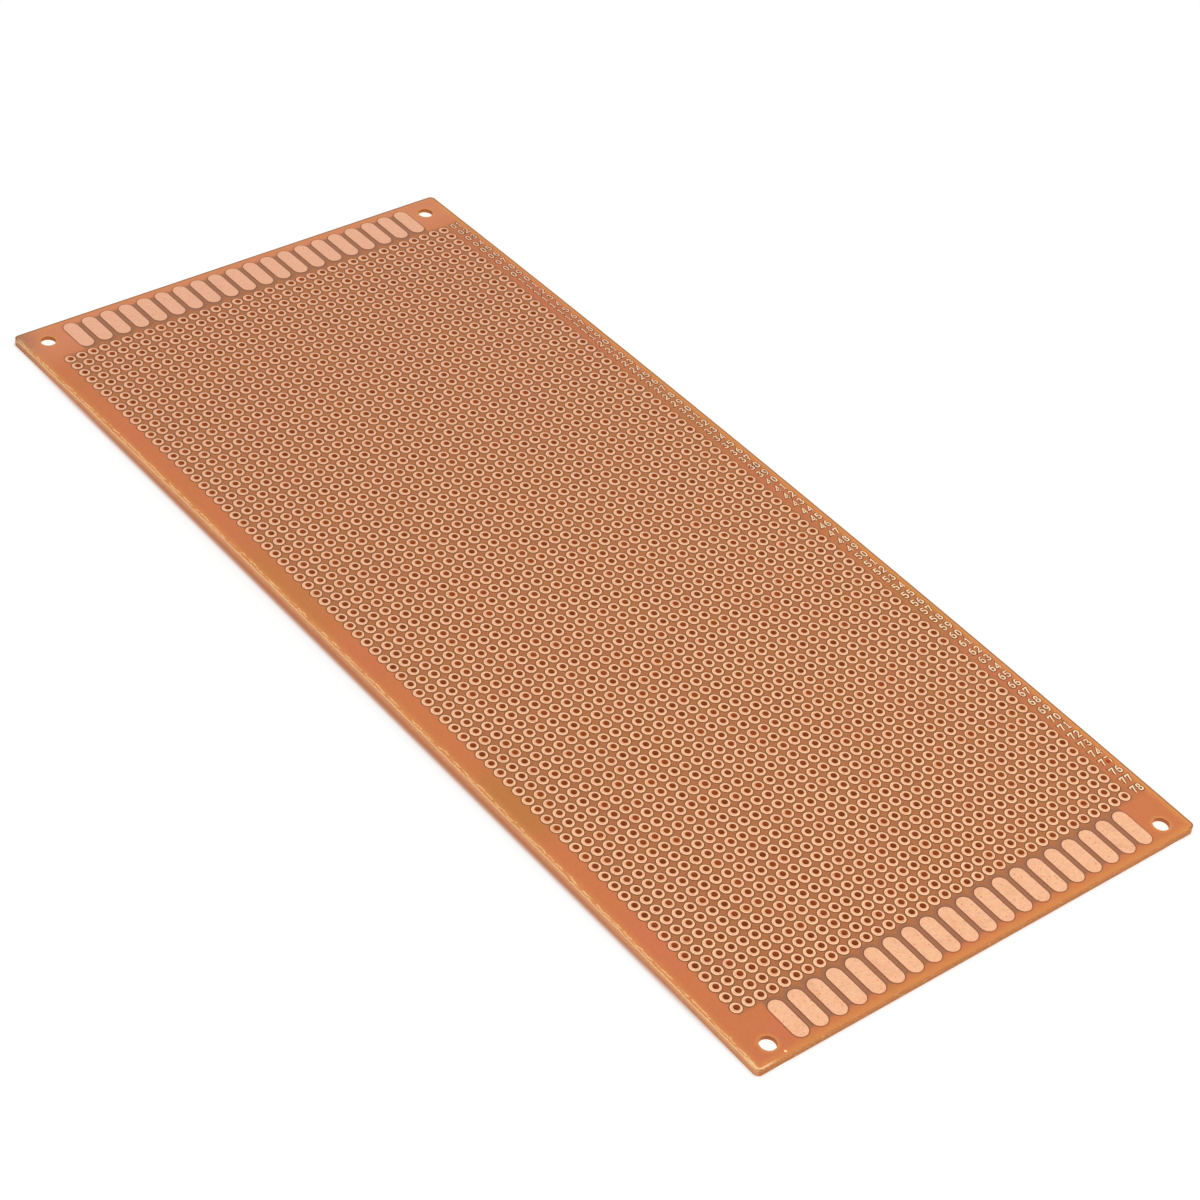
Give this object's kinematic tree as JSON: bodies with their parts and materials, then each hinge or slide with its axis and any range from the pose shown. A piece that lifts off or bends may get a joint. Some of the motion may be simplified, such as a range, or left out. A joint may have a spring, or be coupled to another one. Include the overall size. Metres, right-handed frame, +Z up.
{
  "type": "prototype board",
  "caption": "Single-sided phenolic perforated board with a ring pad round every hole, edge contacts at both ends and corner mounting holes.",
  "frame": {"origin": "under the middle of the sheet, level with the lower edges of the two short ends that it rests on", "axes": "+X along the length, from column 1 to column 78; +Y across the width, towards the numbered edge; +Z up, out of the copper side"},
  "size_m": [0.219, 0.1, 0.003],
  "materials": {
    "laminate": "translucent orange-brown paper laminate, satin",
    "copper": "bare etched copper foil, satin"
  },
  "bodies": {
    "root": {"laminate": "laminate", "contacts_left": "copper", "contacts_right": "copper", "pads_columns_01_02": "copper", "pads_columns_03_04": "copper", "pads_columns_05_06": "copper", "pads_columns_07_08": "copper", "pads_columns_09_10": "copper", "pads_columns_11_12": "copper", "pads_columns_13_14": "copper", "pads_columns_15_16": "copper", "pads_columns_17_18": "copper", "pads_columns_19_20": "copper", "pads_columns_21_22": "copper", "pads_columns_23_24": "copper", "pads_columns_25_26": "copper", "pads_columns_27_28": "copper", "pads_columns_29_30": "copper", "pads_columns_31_32": "copper", "pads_columns_33_34": "copper", "pads_columns_35_36": "copper", "pads_columns_37_38": "copper", "pads_columns_39_40": "copper", "pads_columns_41_42": "copper", "pads_columns_43_44": "copper", "pads_columns_45_46": "copper", "pads_columns_47_48": "copper", "pads_columns_49_50": "copper", "pads_columns_51_52": "copper", "pads_columns_53_54": "copper", "pads_columns_55_56": "copper", "pads_columns_57_58": "copper", "pads_columns_59_60": "copper", "pads_columns_61_62": "copper", "pads_columns_63_64": "copper", "pads_columns_65_66": "copper", "pads_columns_67_68": "copper", "pads_columns_69_70": "copper", "pads_columns_71_72": "copper", "pads_columns_73_74": "copper", "pads_columns_75_76": "copper", "pads_columns_77_78": "copper"}
  },
  "joints": []
}
